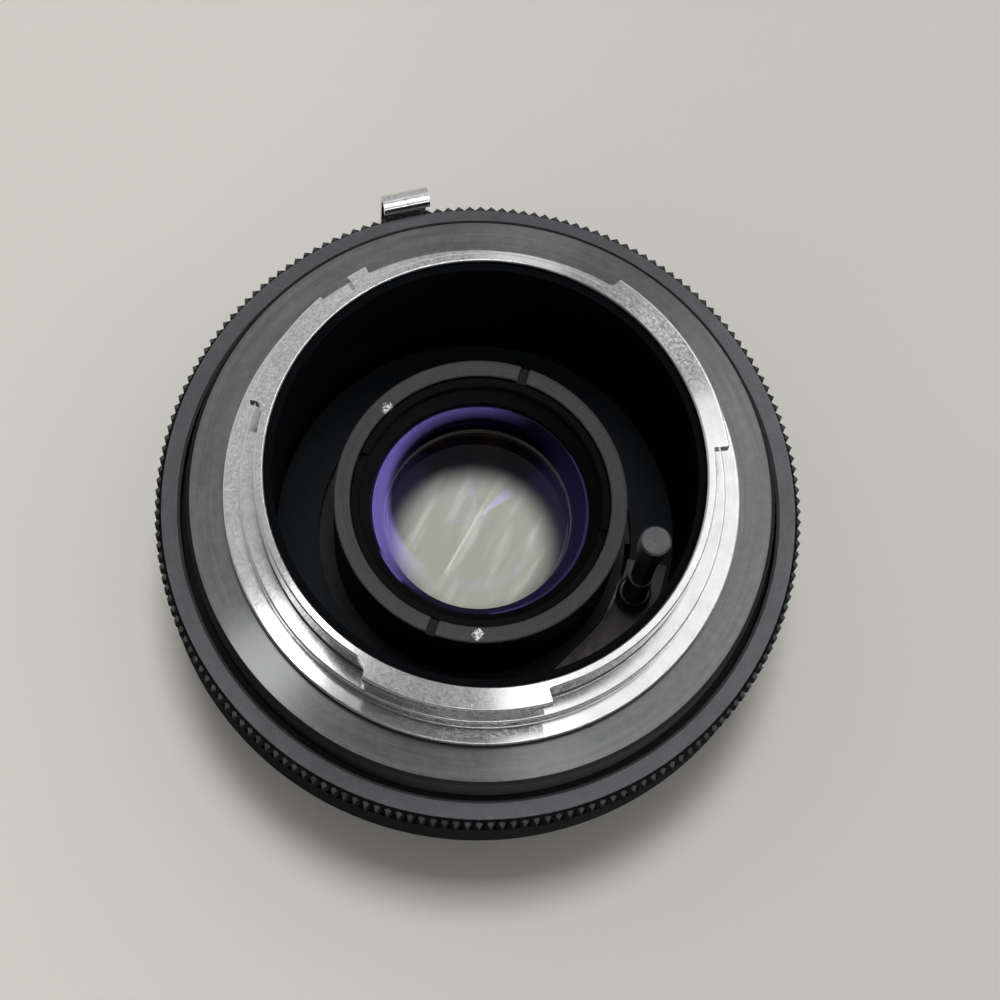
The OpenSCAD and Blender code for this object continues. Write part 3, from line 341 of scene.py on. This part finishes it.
def cell_grey():
    """Grey rim on a black tube, with two chips to the bare metal."""
    p = Paint("cell_grey")
    speck = p.grain(4.0)
    lines = p.arcs(7.0, 3.0)
    tone = p.span(p.total(speck, lines), 0.7, 1.3)
    rim = p.blend(tone, (0.038, 0.036, 0.039), (0.062, 0.059, 0.062))
    shade = p.blend(p.span(p.z, *CELL_RIM_FOOT), (0.004, 0.004, 0.005), rim)
    chips = p.largest(*(p.spot(*chip) for chip in CELL_CHIPS))
    flakes = p.blend(p.span(p.grain(6.0, 2.0), 0.40, 0.56), (0.10, 0.10, 0.10), (0.98, 0.98, 0.98))
    p.set(Base_Color=p.blend(chips, shade, flakes), Metallic=p.product(chips, 0.8))
    p.set(Roughness=p.span(speck, 0.3, 0.7, 0.38, 0.52), Specular_IOR_Level=0.35)
    p.bump(p.total(speck, lines), 0.15, 0.01)
    return p.material


def scaled(tone, factor):
    return tuple(c * factor for c in tone)


def flat_black(name, tone, gloss, level):
    p = Paint(name)
    cloud = p.grain(0.22, 4.0)
    p.set(Base_Color=p.blend(cloud, scaled(tone, 0.6), scaled(tone, 1.5)))
    p.set(Roughness=p.span(cloud, 0.3, 0.7, gloss - 0.07, gloss + 0.07), Specular_IOR_Level=level)
    p.bump(p.grain(3.0, 2.0), 0.2, 0.01)
    return p.material


def plain_steel(name, tone, gloss):
    p = Paint(name)
    fine = p.grain(1.4, 5.0, 0.7)
    cloud = p.grain(0.26)
    p.set(Base_Color=p.blend(p.span(cloud, 0.3, 0.7), scaled(tone, 0.75), tone), Metallic=1.0)
    p.set(Roughness=p.span(fine, 0.3, 0.7, gloss - 0.08, gloss + 0.1))
    p.bump(fine, 0.2, 0.02)
    return p.material


def coated_glass(node, name, index, film=None, tint=None, rim=0.3):
    """Clear glass with a blackened edge, and a thin film or a reflection tint for its coating."""
    p = Paint(name)
    low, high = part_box(node)
    clear_r = (high[0] - low[0]) / 2 * PER_MM - rim
    dark = p.span(p.radius, clear_r - 0.2, clear_r - 0.1)
    edge = p.span(p.radius, clear_r - 0.1, clear_r)
    p.set(Base_Color=p.blend(dark, (0.98, 0.98, 0.97), (0.003, 0.003, 0.003)), IOR=index)
    p.set(Transmission_Weight=p.math("SUBTRACT", 1.0, edge))
    p.set(Roughness=p.span(p.grain(0.12, 4.0), 0.45, 0.8, 0.0, 0.015))
    if film:
        p.set(Thin_Film_Thickness=film[0], Thin_Film_IOR=film[1])
    if tint:
        p.set(Specular_Tint=tint)
    return p.material, [node]


def red_enamel():
    p = Paint("index_red")
    cloud = p.grain(0.9)
    p.set(Base_Color=p.blend(cloud, (0.42, 0.02, 0.015), (0.60, 0.04, 0.03)), Roughness=0.25)
    p.bump(cloud, 0.1, 0.02)
    return p.material


LOOKS = (
    (turned_chrome(), ["rear_bayonet", "front_bayonet"]),
    (bright_plate(), ["coupling_lug", "release_button"]),
    (turned_cover(), ["rear_cover"]),
    (knurled_black(), ["coupling_ring"]),
    (barrel_black(), ["main_barrel"]),
    (cell_grey(), ["optical_cell"]),
    (flat_black("ring_black", (0.0025, 0.0025, 0.003), 0.6, 0.08),
     ["rear_retaining_ring", "front_retaining_ring"]),
    # Near-zero black on the chamber sleeve: flat black of a baffle, darkened further as painted shade of
    # the chamber
    (flat_black("deep_black", (0.0010, 0.0013, 0.0019), 0.65, 0.05),
     ["chamber_sleeve", "front_spacer", "release_slide"]),
    (flat_black("inner_black", (0.007, 0.0095, 0.0125), 0.5, 0.25), ["stop_down_ring"]),
    (plain_steel("pin_black", (0.16, 0.16, 0.165), 0.4), ["stop_down_pin"]),
    (plain_steel("bare_steel", (0.25, 0.232, 0.230), 0.5), ["pin_arm", "stop_down_lever"]),
    coated_glass("rear_element", "glass_rear", 1.62, tint=(0.38, 0.28, 1.0, 1.0), rim=1.25),
    coated_glass("front_element", "glass_front", 1.62, film=(112.0, 1.27)),
    coated_glass("doublet_front_element", "glass_inner", 1.55, film=(114.0, 1.245)),
    coated_glass("second_element", "glass_second", 1.55, film=(114.0, 1.245)),
    (red_enamel(), ["lens_index_bead"]),
    (plain_steel("steel", (0.55, 0.55, 0.56), 0.3),
     ["rear_bayonet_screws", "front_bayonet_screws", "bayonet_springs", "lug_rivets",
      "coupling_follower", "follower_screws", "coupling_guide_screws", "coupling_drive_pin",
      "coupling_spring", "coupling_spring_post", "arm_rivets", "stop_down_spring",
      "stop_down_spring_post", "lock_pin", "lock_spring"]),
)
for look, names in LOOKS:
    for name in names:
        mesh = nodes[name].data
        mesh.materials.clear()
        mesh.materials.append(look)


# Floor, light and camera

def pool(p):
    """A painted pool of light on the table that glass shows, with faint painted streaks, one painted
    bright line, and painted shade around it.
    """
    side, ahead = STREAK_TURN
    along = p.total(p.product(p.x, side), p.product(p.y, ahead))
    across = p.math("SUBTRACT", p.product(p.x, ahead), p.product(p.y, side))
    streak = p.noise(p.vector(p.product(along, 0.06), p.product(across, 0.42), 0.0), 1.0, 2.0, 0.5)
    pale = p.blend(p.span(streak, 0.45, 0.72), (0.42, 0.415, 0.38), (0.58, 0.585, 0.57))
    line = p.product(p.band(across, -1.6, -1.3, 0.15), p.band(along, -5.5, 5.0, 0.8))
    pale = p.blend(line, pale, (0.74, 0.74, 0.72))
    far = p.length(p.x, p.total(p.y, POOL_SHIFT))
    return p.blend(p.span(far, *POOL_END), pale, (0.006, 0.007, 0.008))


def floor():
    """A pale table. Rays through glass see a glowing painted pool of light in its place."""
    mesh = bpy.data.meshes.new("floor")
    corners = [(x * FLOOR_HALF, y * FLOOR_HALF, -FLOOR_DROP * MM)
               for x, y in ((-1, -1), (1, -1), (1, 1), (-1, 1))]
    mesh.from_pydata(corners, [], [(0, 1, 2, 3)])
    made = bpy.data.objects.new("floor", mesh)
    scene.collection.objects.link(made)
    p = Paint("pale_table")
    # Table painted lighter on the left and darker on the right, a painted fall-off of light, with random
    # tone over it
    share = p.total(p.span(p.x, -50.0, 50.0, 0.0, 0.7), p.product(p.grain(0.014, 4.0, 0.5), 0.3))
    tone = p.blend(share, (0.680, 0.662, 0.605), (0.570, 0.556, 0.512))
    p.set(Base_Color=tone, Roughness=0.55, Specular_IOR_Level=0.3)
    p.bump(p.grain(0.7), 0.04, 0.05)
    glow = p.add("ShaderNodeEmission")
    p.put(glow.inputs["Color"], pool(p))
    through = p.add("ShaderNodeLightPath").outputs["Is Transmission Ray"]
    mix = p.add("ShaderNodeMixShader")
    for socket, v in zip(mix.inputs, (through, p.shader.outputs[0], glow.outputs[0])):
        p.put(socket, v)
    p.put(p.tree.nodes["Material Output"].inputs["Surface"], mix.outputs[0])
    mesh.materials.append(p.material)


def world():
    """Soft room light. Metal and glass mirror a ceiling with brighter sectors, a panel and a figure."""
    made = bpy.data.worlds.new("room")
    made.use_nodes = True
    scene.world = made
    n = Nodes(made.node_tree)
    x, y, z = n.split(n.add("ShaderNodeTexCoord").outputs["Generated"])
    height = n.math("MAXIMUM", z, 0.05)
    a = n.math("SUBTRACT", n.math("DIVIDE", x, height), CEILING[0])
    b = n.math("SUBTRACT", n.math("DIVIDE", y, height), CEILING[1])
    reach = n.math("MAXIMUM", n.length(a, b), 0.0001)
    path = n.add("ShaderNodeLightPath")
    mirrored = path.outputs["Is Glossy Ray"]

    def sector(middle, half, soft):
        """One where the direction lies round this angle of the ceiling."""
        turn = math.radians(middle)
        along = n.total(n.product(a, math.cos(turn)), n.product(b, math.sin(turn)))
        return n.span(n.math("DIVIDE", along, reach), math.cos(math.radians(half + soft)),
                      math.cos(math.radians(half - soft)))

    front = n.span(mirrored, 0.0, 1.0, FRONT_LEVEL, FRONT_LEVEL_MIRRORED)
    room = n.blend(n.span(y, -0.5, 0.4), front, BACK_TONE)
    ceiling = CEILING_LEVEL
    for place, level in CEILING_SECTORS:
        ceiling = n.math("MAXIMUM", ceiling, n.product(sector(*place), level))
    above = n.product(n.until(reach, *CEILING_END), n.span(z, 0.3, 0.5))
    lit = n.blend(above, room, ceiling)
    figure = n.product(sector(*FIGURE_SECTOR), n.band(reach, *FIGURE_REACH, SOFT_REACH), mirrored)
    lit = n.blend(figure, lit, FIGURE_TONE)
    panel = n.product(sector(*PANEL_SECTOR), n.band(reach, *PANEL_REACH, SOFT_REACH),
                      n.span(z, 0.2, 0.3), mirrored)
    background = n.tree.nodes["Background"]
    n.put(background.inputs["Color"], n.blend(panel, lit, PANEL_TONE))
    n.put(background.inputs["Strength"],
          n.span(path.outputs["Is Transmission Ray"], 0.0, 1.0, 1.0, STRENGTH_THROUGH_GLASS))


def facing(place, right, up, back):
    """A transform at a place, with its three axes along these directions."""
    return Matrix.Translation(place) @ Matrix((right, up, back)).transposed().to_4x4()


def key_lamp():
    """A square panel near the zenith that faces the object, and that nothing mirrors."""
    place, side, radiance = Vector((-0.02, 0.50, 2.5)), 0.60, 32.0
    data = bpy.data.lights.new("key", "AREA")
    data.shape = "RECTANGLE"
    data.size = data.size_y = side
    data.energy = radiance * math.pi * side * side
    made = bpy.data.objects.new("key", data)
    back = (place - Vector((0.0, 0.0, 0.025))).normalized()
    right = Vector((1.0, 0.0, 0.0))
    right = (right - back * back.dot(right)).normalized()
    made.matrix_world = facing(place, right, back.cross(right), back)
    made.visible_camera = made.visible_glossy = made.visible_transmission = False
    scene.collection.objects.link(made)


def camera():
    data = bpy.data.cameras.new("camera")
    data.sensor_width = SENSOR
    data.lens = LENS
    data.clip_start, data.clip_end = 0.01, 20.0
    made = bpy.data.objects.new("camera", data)
    right, up = Vector(CAMERA_RIGHT), Vector(CAMERA_UP)
    made.matrix_world = facing(CAMERA_PLACE, right, up, right.cross(up))
    scene.collection.objects.link(made)
    scene.camera = made


floor()
world()
key_lamp()
camera()
